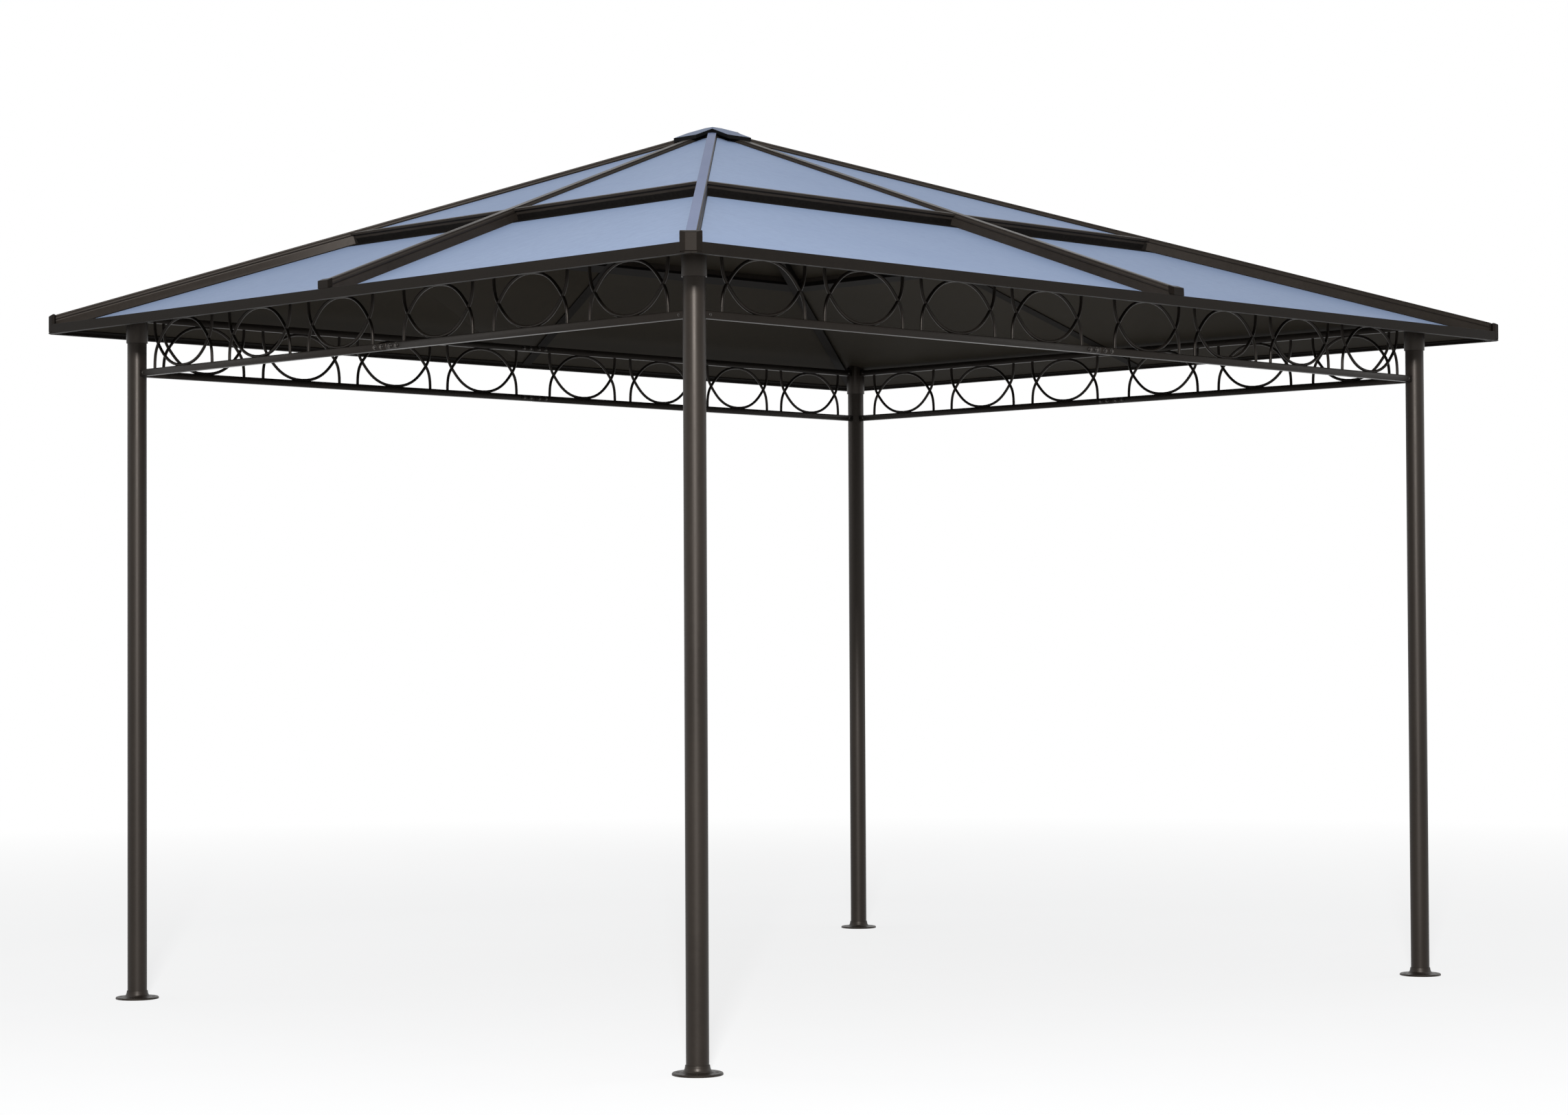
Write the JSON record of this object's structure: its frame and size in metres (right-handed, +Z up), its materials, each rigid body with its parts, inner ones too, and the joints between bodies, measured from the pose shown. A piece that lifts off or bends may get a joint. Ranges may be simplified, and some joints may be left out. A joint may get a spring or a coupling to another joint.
{
  "type": "metal gazebo",
  "caption": "Open garden gazebo with round steel posts on foot flanges, scrolled friezes and a two-tier panelled hip roof with an apex cap.",
  "frame": {"origin": "centre of the roof's plan on the floor, at the underside of the foot flanges", "axes": "+X along the long side, +Z up, -Y towards the front long side"},
  "size_m": [3.866, 3.119, 2.9078],
  "materials": {
    "frame": "satin dark brown powder coat",
    "ironwork": "satin dark brown powder coat",
    "trim": "satin dark brown powder coat",
    "roof_panel": "smooth grey-blue coated sheet, dark brown underside",
    "caps": "moulded dark brown caps"
  },
  "bodies": {
    "root": {"post_front_left": "frame", "post_front_right": "frame", "post_back_right": "frame", "post_back_left": "frame", "flange_front_left": "frame", "flange_front_right": "frame", "flange_back_right": "frame", "flange_back_left": "frame", "collar_front_left": "frame", "collar_front_right": "frame", "collar_back_right": "frame", "collar_back_left": "frame", "frieze_front": "ironwork", "frieze_right": "ironwork", "frieze_back": "ironwork", "frieze_left": "ironwork", "fascia_front": "trim", "fascia_right": "trim", "fascia_back": "trim", "fascia_left": "trim", "hip_front_left": "trim", "hip_front_right": "trim", "hip_back_right": "trim", "hip_back_left": "trim", "mid_rafter_front": "trim", "mid_rafter_right": "trim", "mid_rafter_back": "trim", "mid_rafter_left": "trim", "purlin_front": "trim", "purlin_right": "trim", "purlin_back": "trim", "purlin_left": "trim", "lower_panels_front": "roof_panel", "lower_panels_right": "roof_panel", "lower_panels_back": "roof_panel", "lower_panels_left": "roof_panel", "upper_panels_front": "roof_panel", "upper_panels_right": "roof_panel", "upper_panels_back": "roof_panel", "upper_panels_left": "roof_panel", "corner_end_caps": "caps", "rafter_end_caps": "caps", "apex_hub": "trim", "apex_cap": "caps"}
  },
  "joints": []
}
